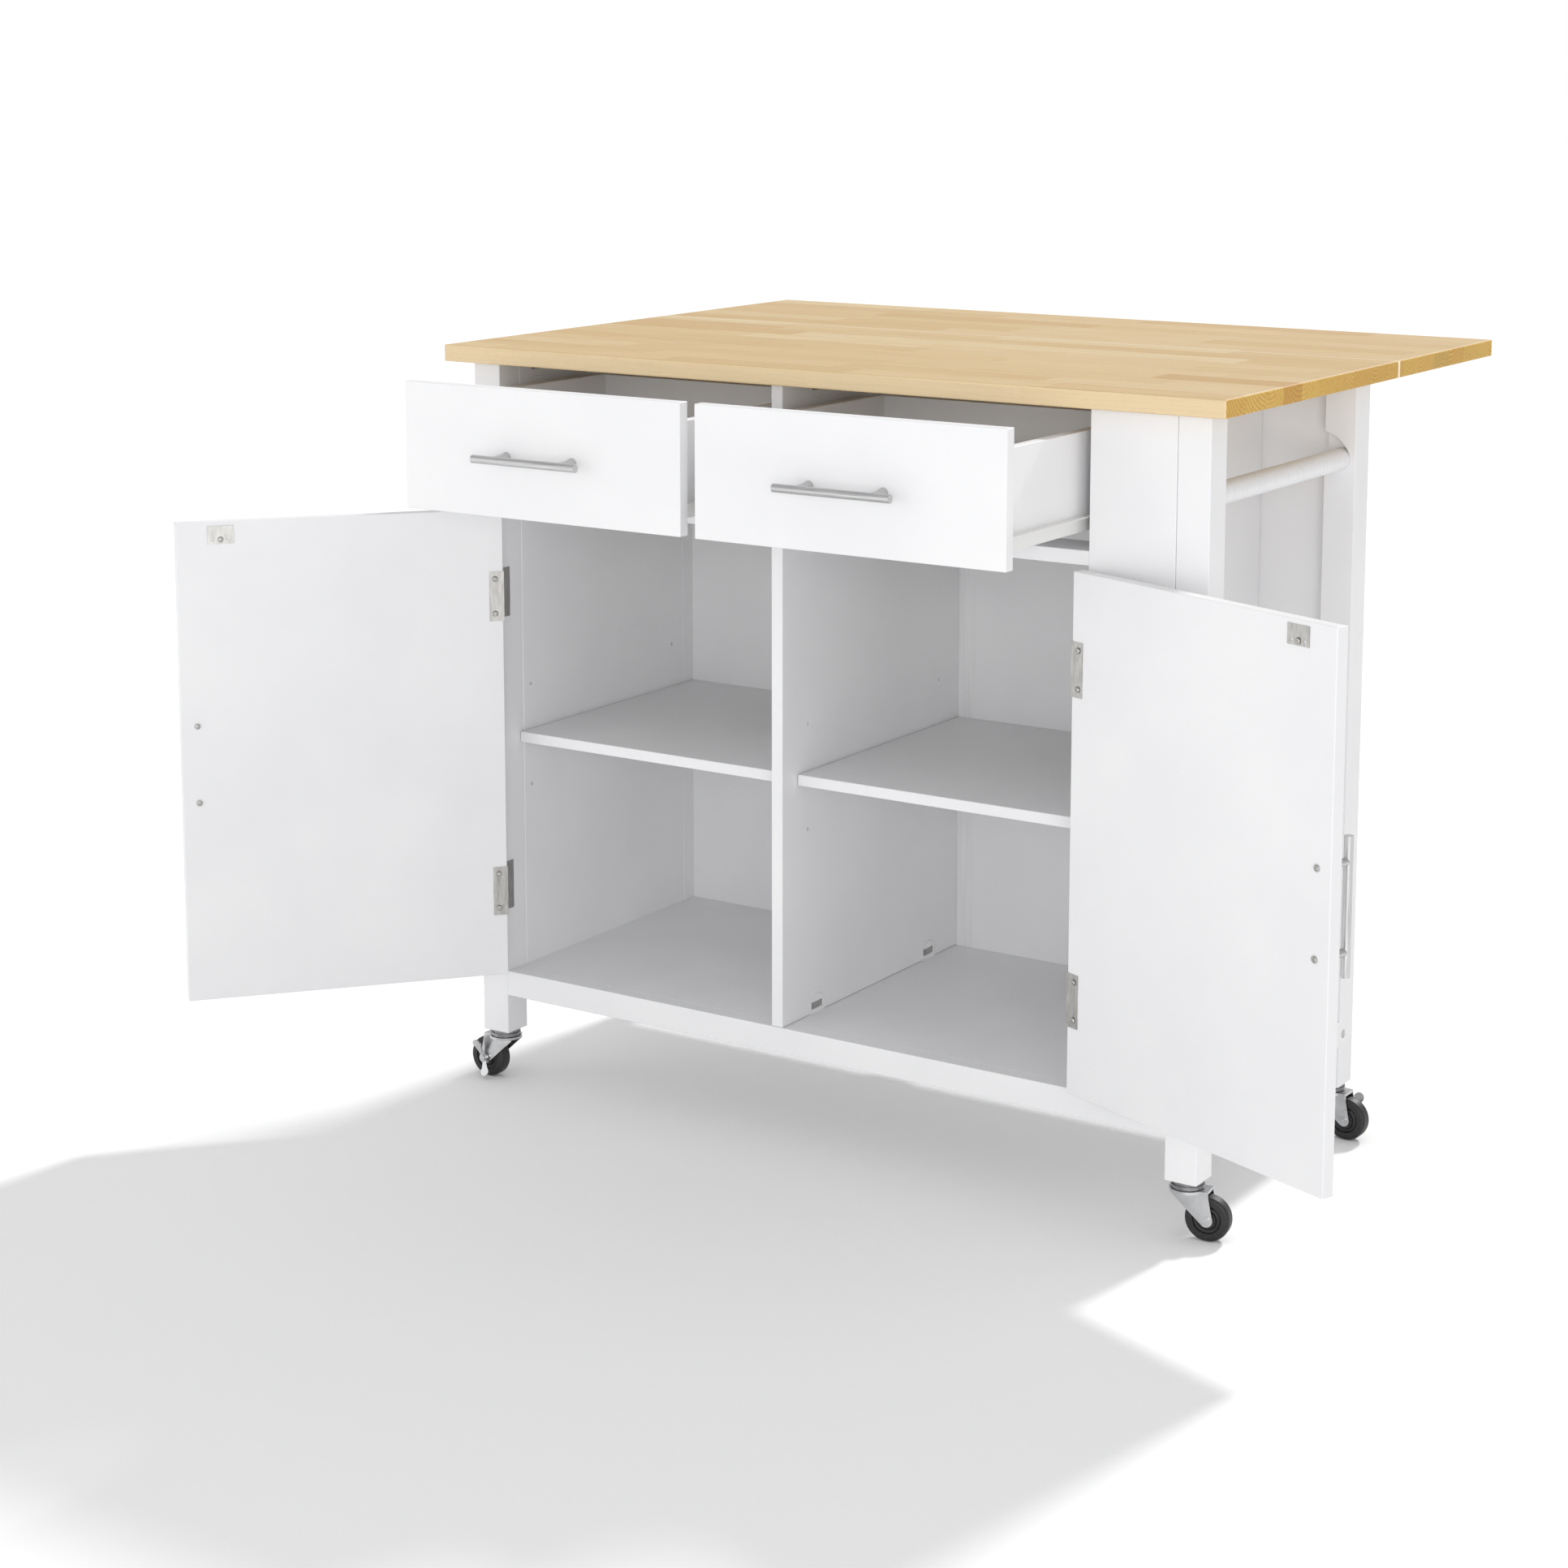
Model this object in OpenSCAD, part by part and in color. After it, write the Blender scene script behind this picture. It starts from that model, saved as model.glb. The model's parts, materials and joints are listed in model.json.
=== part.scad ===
// Drop leaf kitchen island on casters: two drawers, two doors, an open end niche with a towel bar,
// and a rear leaf on folding brackets.
// X runs to the right, Y to the rear, Z up from the floor. The origin is on the floor,
// midway between the four caster swivels. Drawers, doors and casters stand as they are at rest.

/* [Worktop] */
// Height of the worktop above the floor
total_height = 914; // [890:1:930]
// Width of the worktop
top_width = 1024; // [990:1:1080]
// Depth of the drop leaf
leaf_depth = 290; // [240:1:300]
// Slot between the worktop and the leaf
leaf_slot = 2.5; // [2:0.5:4]
// Thickness of the worktop and the leaf
top_thickness = 20; // [18:1:24]
// Rounding of the worktop's edges
top_edge = 2.5; // [1:0.5:4]

/* [Carcass] */
// Overhang of the worktop at each side
side_overhang = 27; // [15:1:35]
// Overhang of the worktop at the front
front_overhang = 23.5; // [15:0.5:26]
// Overhang of the fixed worktop at the rear
rear_overhang = 15.5; // [14:0.5:25]
// Depth of the cabinet over its posts
body_depth = 413; // [405:1:418]
// Side of the square posts
post_size = 38; // [36:1:42]
// Rounding of the painted edges
paint_edge = 1.2; // [0.5:0.1:1.8]
// Length of the legs below the aprons
leg_length = 49; // [35:1:60]
// Height of the aprons
apron_height = 31; // [28:1:40]
// Thickness of the aprons
apron_thickness = 20; // [18:1:24]
// Thickness of the panels, the divider and the fronts
panel_thickness = 15; // [14:0.5:18]
// Thickness of the back panels
back_thickness = 5; // [4:0.5:8]
// Width of the rear centre stile
stile_width = 61; // [50:1:80]
// Width of the fixed panel at the front right, and so of the end niche
niche_width = 102; // [90:1:120]
// Hairline gap where painted panels meet the posts and the floor
seam = 0.4; // [0.2:0.1:0.5]
// Height of the rails behind the top of the back panels
rear_rail_height = 90; // [80:1:110]

/* [Front] */
// Height of the drawer openings
drawer_opening = 154; // [140:1:170]
// Thickness of the drawer rails
rail_thickness = 16; // [14:1:20]
// Depth of the drawer rails
rail_depth = 60; // [40:1:80]
// Gap beside each door and drawer front
side_gap = 2; // [2:0.1:2.6]
// Gap above and below each door
door_gap = 3; // [2:0.5:4]
// Gap below each drawer front
drawer_gap = 2; // [1.5:0.5:4]
// Gap above each drawer front
drawer_top_gap = 5; // [3:0.5:8]
// Opening angle of the left door at rest
left_door_angle = 130; // [0:1:170]
// Opening angle of the right door at rest
right_door_angle = 159; // [0:1:170]
// How far the left drawer stands open at rest
left_drawer_out = 175; // [0:1:250]
// How far the right drawer stands open at rest
right_drawer_out = 175; // [0:1:250]

/* [Drawers] */
// Thickness of the drawer sides and back
side_thickness = 12; // [10:1:14]
// Thickness of the drawer bottoms
bottom_thickness = 5; // [3:0.5:6]
// Length of the drawer sides
drawer_length = 350; // [330:1:352]
// Height of the drawer sides
drawer_side_height = 106; // [90:1:112]
// Height of the drawer sides above the rail
drawer_lift = 20; // [18:1:24]
// Height of a drawer bottom above the lower edge of the sides
bottom_lift = 8; // [6:0.5:12]
// Depth of the grooves that hold a drawer bottom
groove_depth = 4; // [3:0.5:5]
// Room for a runner beside a drawer
runner_room = 13; // [12.5:0.1:14]
// Sheet of the runners
runner_sheet = 1.2; // [1:0.1:1.4]
// Radius of the runner rollers
roller_radius = 9; // [8.5:0.1:9.5]
// Width of the runner rollers
roller_width = 6.5; // [5:0.5:7]

/* [Shelves] */
// Thickness of the shelves
shelf_thickness = 13; // [12:0.5:16]
// Height of the middle row of pin holes
pin_row = 432.5; // [400:0.5:470]
// Distance between the rows of pin holes
pin_pitch = 62.5; // [50:0.5:70]
// Radius of the shelf pins
pin_radius = 2.5; // [2:0.1:3]
// Distance of the shelves behind the front of the posts
shelf_setback = 30; // [20:1:45]
// Distance of the front pins behind the front of the shelf
pin_inset_front = 23.5; // [15:0.5:40]
// Distance of the rear pins from the rear of the shelf
pin_inset_rear = 48; // [30:1:60]

/* [Handles] */
// Length of a handle
handle_length = 144; // [130:1:170]
// Distance between the two posts of a handle
handle_centres = 92; // [80:1:100]
// Radius of the handle bar
handle_radius = 4.75; // [4:0.25:6]
// Distance from a front to the middle of the bar
handle_reach = 28; // [24:1:34]
// Distance from a door's free edge to its handle
handle_inset = 19; // [15:1:40]

/* [Hinges] */
// Length of a door hinge
hinge_length = 60; // [50:1:70]
// Distance of the hinges from the ends of a door, to their middle
hinge_inset = 105; // [80:1:130]
// Radius of a hinge barrel
hinge_radius = 3; // [2.6:0.1:3.2]
// Thickness of the hinge leaves
hinge_sheet = 0.8; // [0.6:0.1:0.85]
// Width of a hinge leaf on the cabinet
frame_leaf_width = 14; // [12:0.5:14.5]
// Width of a hinge leaf on a door
door_leaf_width = 17; // [14:0.5:20]

/* [Towel bar] */
// Radius of the towel bar
towel_radius = 12.5; // [10:0.5:14]
// Distance from the outer face of the posts to the middle of the bar
towel_inset = 19; // [17:0.5:21]
// Distance from the worktop's underside to the middle of the bar
towel_drop = 90; // [70:1:120]
// Radius of the arc down which the bar slides into its seats in the posts
pocket_radius = 42.5; // [40:0.5:44]
// Depth of the pockets round the seats
pocket_depth = 12; // [8:1:16]

/* [Leaf brackets] */
// Length of a bracket arm under the leaf
arm_length = 150; // [120:1:180]
// Width of the brackets
bracket_width = 30; // [26:1:36]
// Sheet of the brackets
bracket_sheet = 3; // [2:0.5:3]
// Distance of the pivot below the worktop
pivot_drop = 7; // [7:0.5:9]
// Distance from the middle to the outer brackets
bracket_spread = 345; // [250:5:360]

/* [Casters] */
// Height of a caster
caster_height = 65; // [62:0.5:72]
// Radius of the wheels
wheel_radius = 25; // [23:0.5:25]
// Width of the wheels
wheel_width = 17; // [15:1:20]
// Distance from the swivel to the axle
caster_trail = 24; // [20:1:26]
// Direction of the front left caster
turn_front_left = 179; // [-180:1:180]
// Direction of the front right caster
turn_front_right = 9; // [-180:1:180]
// Direction of the rear left caster
turn_rear_left = 35; // [-180:1:180]
// Direction of the rear right caster
turn_rear_right = -2; // [-180:1:180]

/* [Hidden] */
$fn = 48;

white = [0.93, 0.94, 0.95];
wood = [0.80, 0.64, 0.43];
steel = [0.74, 0.74, 0.75];
zinc = [0.78, 0.80, 0.83];
black = [0.07, 0.07, 0.08];
grey = [0.62, 0.63, 0.65];

// Clearance that keeps two moving faces from touching
clear = 0.3;
// Radial fit of a pin in its bore
fit = 0.1;

top_under = total_height - top_thickness;
top_half = top_width / 2;
body_half = top_half - side_overhang;
post_in = body_half - post_size;
front = -body_depth / 2;
rear = body_depth / 2;
post_in_y = rear - post_size;
top_front = front - front_overhang;
top_rear = rear + rear_overhang;
apron_bottom = caster_height + leg_length;
floor_top = apron_bottom + apron_height;
floor_bottom = floor_top - panel_thickness;
inner_front = front + panel_thickness;
back_inner = rear - panel_thickness;
partition_x = post_in - niche_width;
bay_width = (partition_x + post_in - panel_thickness) / 2;
bay_left = -post_in;
divider_x = bay_left + bay_width;
bay_right = divider_x + panel_thickness;
bays = [bay_left, bay_right];
stile_x = divider_x + (panel_thickness - stile_width) / 2;
rail_top = top_under - drawer_opening;
rail_bottom = rail_top - rail_thickness;
front_width = bay_width - 2 * side_gap;

// Boards with rounded edges
module soft_plate(w, h, r) {
    translate([r, 0]) square([w - 2 * r, h]);
    translate([0, r]) square([w, h - 2 * r]);
    for (x = [r, w - r], y = [r, h - r]) translate([x, y]) circle(r = r, $fn = 32);
}

module soft_board(x0, x1, y0, y1, z0, z1, r = paint_edge) {
    s = [x1 - x0, y1 - y0, z1 - z0];
    translate([x0, y0, z0]) intersection() {
        linear_extrude(s[2]) soft_plate(s[0], s[1], r);
        translate([0, s[1], 0]) rotate([90, 0, 0]) linear_extrude(s[1]) soft_plate(s[0], s[2], r);
        rotate([90, 0, 90]) linear_extrude(s[0]) soft_plate(s[1], s[2], r);
    }
}

module board(x0, x1, y0, y1, z0, z1) {
    translate([x0, y0, z0]) cube([x1 - x0, y1 - y0, z1 - z0]);
}

module rod_x(x0, x1, y, z, r) {
    translate([x0, y, z]) rotate([0, 90, 0]) cylinder(r = r, h = x1 - x0);
}

module rod_y(x, y0, y1, z, r) {
    translate([x, y1, z]) rotate([90, 0, 0]) cylinder(r = r, h = y1 - y0);
}

module rod_z(x, y, z0, z1, r) {
    translate([x, y, z0]) cylinder(r = r, h = z1 - z0);
}

// Frame fixings: a nut block in the window of a flush arched plug, with a bolt through the end of
// the panel
fixing_rows = [-131, 124];
arch_radius = 15;
arch_height = 23;
arch_depth = 8;
plug_gap = 0.4;
nut_size = [6, 20, 8.5];
nut_drop = 13.5;
nut_start = -8;
nut_hole = [9.3, 2, 1.1];
window_room = 5;
bolt_radius = 3;
bolt_bite = 14;
bolt_head_radius = 5;
bolt_head_height = 4;
// Each place is the face of a panel, the way into the panel, and the top or bottom end
top_fixings = [[-post_in, -1], [bay_right, -1], [partition_x, 1]];
floor_fixings = [[bay_right, -1], [partition_x, 1]];

module arch_outline(r, h, past) {
    translate([-r, r - h]) square([2 * r, h - r + past]);
    intersection() {
        translate([0, r - h]) circle(r = r);
        translate([-r, -h]) square([2 * r, h + past]);
    }
}

module arch_pocket(face, way, y, edge, up) {
    translate([face, y, edge]) mirror([way < 0 ? 1 : 0, 0, 0]) mirror([0, 0, up ? 0 : 1])
        rotate([90, 0, 90]) linear_extrude(2 * arch_depth, center = true)
            arch_outline(arch_radius, arch_height, 1);
}

module arch_fixing(face, way, y, edge, up) {
    x = face + way * (arch_depth - nut_size[0] / 2);
    translate([x, y, edge]) mirror([0, 0, up ? 0 : 1]) {
        difference() {
            translate([-nut_size[0] / 2, nut_start, -nut_drop]) cube(nut_size);
            rod_x(-nut_size[0], nut_size[0], nut_hole[0], nut_hole[1] - nut_drop, nut_hole[2]);
        }
        rod_z(0, 0, -nut_drop, up ? bolt_bite : panel_thickness, bolt_radius);
    }
}

module arch_plug(face, way, y, edge, up) {
    translate([face, y, edge]) mirror([way < 0 ? 1 : 0, 0, 0]) mirror([0, 0, up ? 0 : 1])
        difference() {
            rotate([90, 0, 90]) linear_extrude(arch_depth)
                arch_outline(arch_radius - plug_gap, arch_height - plug_gap, 0);
            translate([-1, nut_start - window_room, -nut_drop - fit])
                cube([arch_depth + 2, window_room + nut_size[1] + fit, nut_size[2] + 2 * fit]);
            rod_z(arch_depth - nut_size[0] / 2, 0, -nut_drop, 1, bolt_radius + fit);
        }
}

module fixing_bores(places, z0, z1, room = 0) {
    for (place = places, y = fixing_rows)
        rod_z(place[0] + place[1] * (arch_depth - nut_size[0] / 2), y, z0, z1, bolt_radius + room);
}

module pockets(face, way, up) {
    for (y = fixing_rows) arch_pocket(face, way, y, up ? top_under : floor_top, up);
}

// Post bolts: heads sunk in the sides of the posts, shanks in the ends of the aprons
post_bolt_z = floor_top - 17;
post_bolt_depth = 8;
post_bolt_bite = 25;
front_bolt_y = front + apron_thickness / 2;
rear_bolt_y = (post_in_y + back_inner) / 2;

module post_bolt_bore(side, y) {
    x0 = side > 0 ? body_half - post_bolt_depth : -body_half - 1;
    rod_x(x0, x0 + post_bolt_depth + 1, y, post_bolt_z, bolt_head_radius + 0.5);
    x1 = side > 0 ? post_in - post_bolt_bite : -body_half;
    rod_x(x1, x1 + post_size + post_bolt_bite, y, post_bolt_z, bolt_radius);
}

module post_bolt(side, y) {
    x0 = side > 0 ? body_half - post_bolt_depth : -body_half + post_bolt_depth - bolt_head_height;
    difference() {
        rod_x(x0, x0 + bolt_head_height, y, post_bolt_z, bolt_head_radius);
        x2 = side > 0 ? x0 + bolt_head_height - 2 : x0 - 1;
        rod_x(x2, x2 + 3, y, post_bolt_z, 2.4, $fn = 6);
    }
    x1 = side > 0 ? post_in - post_bolt_bite : -body_half + post_bolt_depth;
    rod_x(x1, x1 + post_size + post_bolt_bite - post_bolt_depth, y, post_bolt_z, bolt_radius);
}

// Shelf pins
pin_rows = [pin_row - pin_pitch, pin_row, pin_row + pin_pitch];
shelf_front = front + shelf_setback;
pin_ys = [shelf_front + pin_inset_front, back_inner - pin_inset_rear];
pin_hole_depth = 7;
pin_reach = 9;
shelf_side_gap = 1.25;
shelf_bottom = pin_row - shelf_thickness / 2 + 0.5;

module pin_holes(face, way) {
    x0 = way > 0 ? face : face - pin_hole_depth;
    for (z = pin_rows, y = pin_ys) rod_x(x0, x0 + pin_hole_depth, y, z, pin_radius);
}

// Towel bar
towel_x = body_half - towel_inset;
towel_z = top_under - towel_drop;
seat_radius = towel_radius + fit;
// Slope of the line through the middles of the arc and the seat, where the arc comes nearest to it
pocket_lean = 20.7;
pocket_step = 0.4;
pocket_end = post_in_y + pocket_depth;

// Open toward the cabinet: the seat is deepest, the arc above that line less deep, and the flat way
// in over the seat's bottom least
module towel_pocket() {
    rod_y(towel_x, -pocket_end, pocket_end, towel_z, seat_radius);
    way_end = pocket_end - 2 * pocket_step;
    board(post_in - 1, towel_x - 1, -way_end, way_end,
        towel_z - seat_radius + pocket_step, towel_z - 1);
    arc_end = pocket_end - pocket_step;
    translate([towel_x, 0, towel_z]) rotate([0, -pocket_lean, 0]) intersection() {
        rod_y(seat_radius + pocket_step - pocket_radius, -arc_end, arc_end, 0, pocket_radius);
        board(-2 * pocket_radius, pocket_radius, -pocket_end, pocket_end, 0, 2 * pocket_radius);
    }
}

module towel_bar() {
    color(white) rod_y(towel_x, -post_in_y - pocket_depth, post_in_y + pocket_depth,
        towel_z, towel_radius);
}

// Casters: the stems stand in bores in the legs
stem_radius = 5.5;
stem_length = 32;
race_radius = 18.3;
race_height = 8;
king_radius = 4;
king_head = 3;
caster_x = body_half - post_size / 2;
caster_y = rear - post_size / 2;
fork_gap = 0.5;
fork_top = caster_height - race_height - fork_gap;
fork_sheet = 3;
cap_radius = race_radius + 1.7;
cap_bottom = fork_top - fork_sheet;
cheek_sheet = 2;
cheek_in = wheel_width / 2 + 1;
cheek_out = cheek_in + cheek_sheet;
cheek_nose = sqrt(cap_radius * cap_radius - cheek_out * cheek_out);
cheek_rear = caster_trail + 1.5;
cheek_end = 7.3;
axle_radius = 3;
axle_ring = 4.5;
axle_ring_height = 0.8;
rivet_radius = 2.2;
rivet_height = 1.6;

module caster_stems() {
    color(zinc) for (x = [-caster_x, caster_x], y = [-caster_y, caster_y]) {
        rod_z(x, y, caster_height, caster_height + stem_length, stem_radius);
        rod_z(x, y, caster_height - race_height / 2, caster_height, race_radius - 1.5);
        rod_z(x, y, caster_height - race_height, caster_height - race_height / 2, race_radius);
        rod_z(x, y, cap_bottom - king_head, caster_height, king_radius);
        rod_z(x, y, cap_bottom - king_head, cap_bottom - clear, king_radius + 2);
    }
}

module at_caster(x, y, turn) {
    translate([x, y, 0]) rotate([0, 0, turn]) children();
}

// Side view of a fork's cheek: a straight slope from the nose to a round end at the axle
module cheek_shape() {
    nose_z = cap_bottom - 1.5;
    reach = norm([caster_trail + cheek_nose, nose_z - wheel_radius]);
    slope = atan2(wheel_radius - nose_z, caster_trail + cheek_nose);
    touch = slope + 180 + acos(cheek_end / reach);
    polygon([
        [-cheek_nose, cap_bottom + 1], [-cheek_nose, nose_z],
        [caster_trail + cheek_end * cos(touch), wheel_radius + cheek_end * sin(touch)],
        [caster_trail, wheel_radius], [caster_trail + cheek_end, wheel_radius],
        [cheek_rear, cap_bottom + 1]
    ]);
    translate([caster_trail, wheel_radius]) circle(r = cheek_end);
}

module fork(braked = false) {
    pin_end = cheek_out + (braked ? lever_start + lever_boss + clear + lever_cap : rivet_height);
    color(zinc) difference() {
        union() {
            for (y = [-cheek_out, cheek_in])
                translate([0, y + cheek_sheet, 0]) rotate([90, 0, 0])
                    linear_extrude(cheek_sheet) cheek_shape();
            rod_z(0, 0, cap_bottom, fork_top, cap_radius);
            translate([0, -cheek_out, cap_bottom])
                cube([cheek_rear, 2 * cheek_out, fork_sheet]);
            rod_y(caster_trail, -cheek_out - axle_ring_height, cheek_out + axle_ring_height,
                wheel_radius, axle_ring);
            rod_y(caster_trail, -cheek_out - rivet_height, pin_end, wheel_radius, rivet_radius);
            if (braked)
                rod_y(caster_trail, pin_end - lever_cap, pin_end, wheel_radius, lever_cap_radius);
        }
        rod_z(0, 0, cap_bottom - 1, fork_top + 1, king_radius + fit);
        rod_y(caster_trail, -cheek_in, cheek_in, wheel_radius, axle_ring + 1);
        rod_y(caster_trail, -cheek_out - rivet_height - 1, -cheek_out, wheel_radius,
            rivet_radius / 2);
    }
    color(zinc) rod_y(caster_trail, -cheek_in - 1, cheek_in + 1, wheel_radius, axle_radius);
}

module wheel() {
    r = wheel_radius;
    w = wheel_width / 2;
    translate([caster_trail, 0, wheel_radius]) rotate([90, 0, 0]) color(black) difference() {
        rotate_extrude($fn = 96) difference() {
            union() {
                translate([axle_radius + fit, -w]) square([r - 4 - axle_radius - fit, 2 * w]);
                translate([axle_radius + fit, 4 - w]) square([r - axle_radius - fit, 2 * w - 8]);
                for (y = [4 - w, w - 4]) translate([r - 4, y]) circle(r = 4);
                translate([axle_radius + fit, -w - 0.6]) square([5, 2 * w + 1.2]);
            }
            for (side = [-1, 1]) translate([13, side * w]) circle(r = 3);
        }
    }
}

// Brake lever on the axle's end, outside the cheek: one lobe up, one lobe down, both bent outward
lever_start = axle_ring_height + clear;
lever_boss = 3.8;
lever_cap = 1.2;
lever_cap_radius = 3.6;
lever_sheet = 1.6;
lever_lean = 25;
lever_hub = 5.5;
upper_lobe = [4, 21, 6.3];
lower_lobe = [-6, -17, 5.6];

module lever_blade(lobe) {
    side = sign(lobe[1]);
    neck = lobe[1] * 0.45;
    rotate([-side * lever_lean, 0, 0]) translate([0, lever_sheet, 0]) rotate([90, 0, 0])
        linear_extrude(lever_sheet) {
            translate([lobe[0], lobe[1]]) circle(r = lobe[2]);
            polygon([
                [-lever_hub + 1.5, 0], [lever_hub - 1.5, 0],
                [lobe[0] / 2 + 3, neck], [lobe[0] + 0.85 * lobe[2], 0.85 * lobe[1]],
                [lobe[0] - 0.85 * lobe[2], 0.85 * lobe[1]], [lobe[0] / 2 - 3, neck]
            ]);
        }
}

module brake() {
    color(zinc) translate([caster_trail, cheek_out + lever_start, wheel_radius]) difference() {
        union() {
            rod_y(0, 0, lever_boss, 0, lever_hub);
            lever_blade(upper_lobe);
            lever_blade(lower_lobe);
        }
        rod_y(0, -1, lever_boss + 1, 0, rivet_radius + fit);
    }
}

module fork_front_left() { at_caster(-caster_x, -caster_y, turn_front_left) fork(true); }
module fork_front_right() { at_caster(caster_x, -caster_y, turn_front_right) fork(); }
module fork_rear_left() { at_caster(-caster_x, caster_y, turn_rear_left) fork(); }
module fork_rear_right() { at_caster(caster_x, caster_y, turn_rear_right) fork(true); }
module wheel_front_left() { at_caster(-caster_x, -caster_y, turn_front_left) wheel(); }
module wheel_front_right() { at_caster(caster_x, -caster_y, turn_front_right) wheel(); }
module wheel_rear_left() { at_caster(-caster_x, caster_y, turn_rear_left) wheel(); }
module wheel_rear_right() { at_caster(caster_x, caster_y, turn_rear_right) wheel(); }
module brake_front_left() { at_caster(-caster_x, -caster_y, turn_front_left) brake(); }
module brake_rear_right() { at_caster(caster_x, caster_y, turn_rear_right) brake(); }

// Carcass
module post(side_x, side_y) {
    x0 = side_x > 0 ? post_in : -body_half;
    y0 = side_y > 0 ? post_in_y : -rear;
    color(white) difference() {
        soft_board(x0, x0 + post_size, y0, y0 + post_size, caster_height, top_under);
        rod_z(side_x * caster_x, side_y * caster_y, caster_height - 1,
            caster_height + stem_length, stem_radius);
        post_bolt_bore(side_x, side_y > 0 ? rear_bolt_y : front_bolt_y);
        if (side_x > 0) towel_pocket();
    }
}

module post_front_left() { post(-1, -1); }
module post_front_right() { post(1, -1); }
module post_rear_left() { post(-1, 1); }
module post_rear_right() { post(1, 1); }

module worktop() {
    color(wood) difference() {
        soft_board(-top_half, top_half, top_front, top_rear, top_under, total_height, top_edge);
        fixing_bores(top_fixings, top_under - 1, top_under + bolt_bite);
    }
}

module side_panel() {
    color(white) difference() {
        soft_board(-post_in - panel_thickness, -post_in, seam - post_in_y, post_in_y - seam,
            apron_bottom, top_under);
        pin_holes(-post_in, -1);
        pockets(-post_in, -1, true);
    }
}

module partition() {
    color(white) difference() {
        soft_board(partition_x, partition_x + panel_thickness, inner_front, back_inner - seam,
            floor_top + seam, top_under);
        pin_holes(partition_x, 1);
        pockets(partition_x, 1, true);
        pockets(partition_x, 1, false);
    }
}

module front_filler() {
    color(white) soft_board(partition_x, post_in - seam, front, inner_front, floor_top + seam,
        top_under);
}

module divider() {
    color(white) difference() {
        soft_board(divider_x, bay_right, front, back_inner, floor_top + seam, top_under);
        pin_holes(divider_x, 1);
        pin_holes(bay_right, -1);
        pockets(bay_right, -1, true);
        pockets(bay_right, -1, false);
    }
}

module cabinet_floor() {
    color(white) difference() {
        union() {
            board(-post_in, post_in, front + apron_thickness, post_in_y, floor_bottom, floor_top);
            board(post_in - 1, body_half - apron_thickness, -post_in_y, post_in_y,
                floor_bottom, floor_top);
        }
        fixing_bores(floor_fixings, floor_bottom - 1, floor_top + 1, fit);
    }
}

module front_apron() {
    color(white) difference() {
        soft_board(-post_in, post_in, front, front + apron_thickness, apron_bottom, floor_top);
        for (side = [-1, 1]) post_bolt_bore(side, front_bolt_y);
    }
}

module rear_apron() {
    color(white) difference() {
        soft_board(-post_in, post_in, post_in_y, back_inner, apron_bottom, floor_top);
        for (side = [-1, 1]) post_bolt_bore(side, rear_bolt_y);
    }
}

module end_apron() {
    color(white) soft_board(body_half - apron_thickness, body_half, -post_in_y, post_in_y,
        apron_bottom, floor_top);
}

module aprons() {
    front_apron();
    rear_apron();
    end_apron();
}

module rear_stile() {
    color(white) soft_board(stile_x, stile_x + stile_width, back_inner, rear,
        apron_bottom, top_under);
}

module back_panels() {
    color(white) {
        board(-post_in, stile_x, back_inner, back_inner + back_thickness, apron_bottom, top_under);
        board(stile_x + stile_width, post_in, back_inner, back_inner + back_thickness,
            apron_bottom, top_under);
    }
}

module rear_rails() {
    color(white) {
        soft_board(-post_in, stile_x, back_inner + back_thickness, rear,
            top_under - rear_rail_height, top_under);
        soft_board(stile_x + stile_width, post_in, back_inner + back_thickness, rear,
            top_under - rear_rail_height, top_under);
    }
}

module drawer_rails() {
    color(white) for (x = bays)
        soft_board(x, x + bay_width, front, front + rail_depth, rail_bottom, rail_top);
}

module shelf(x) {
    color(white) difference() {
        soft_board(x + shelf_side_gap, x + bay_width - shelf_side_gap, shelf_front, back_inner,
            shelf_bottom, shelf_bottom + shelf_thickness);
        for (end = [x - 1, x + bay_width - pin_reach - fit], y = pin_ys) {
            rod_x(end, end + pin_reach + fit + 1, y, pin_row, pin_radius + fit);
            board(end, end + pin_reach + fit + 1, y - pin_radius - fit, y + pin_radius + fit,
                shelf_bottom - 1, pin_row);
        }
    }
}

module shelves() { for (x = bays) shelf(x); }

module shelf_pins() {
    color(steel) for (x = bays, y = pin_ys) {
        rod_x(x - pin_hole_depth, x + pin_reach, y, pin_row, pin_radius);
        rod_x(x + bay_width - pin_reach, x + bay_width + pin_hole_depth, y, pin_row, pin_radius);
    }
}

module frame_fixings() {
    color(steel) {
        for (place = top_fixings, y = fixing_rows)
            arch_fixing(place[0], place[1], y, top_under, true);
        for (place = floor_fixings, y = fixing_rows) {
            arch_fixing(place[0], place[1], y, floor_top, false);
            rod_z(place[0] + place[1] * (arch_depth - nut_size[0] / 2), y,
                floor_bottom - bolt_head_height, floor_bottom, bolt_head_radius);
        }
        for (side = [-1, 1], y = [front_bolt_y, rear_bolt_y]) post_bolt(side, y);
    }
}

module fixing_plugs() {
    color(white) {
        for (place = top_fixings, y = fixing_rows)
            arch_plug(place[0], place[1], y, top_under, true);
        for (place = floor_fixings, y = fixing_rows)
            arch_plug(place[0], place[1], y, floor_top, false);
    }
}

// Handles: a bar on two flared posts, with screws through the board behind
flare_radius = 6.5;
screw_radius = 2;
screw_head = 4;

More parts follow.
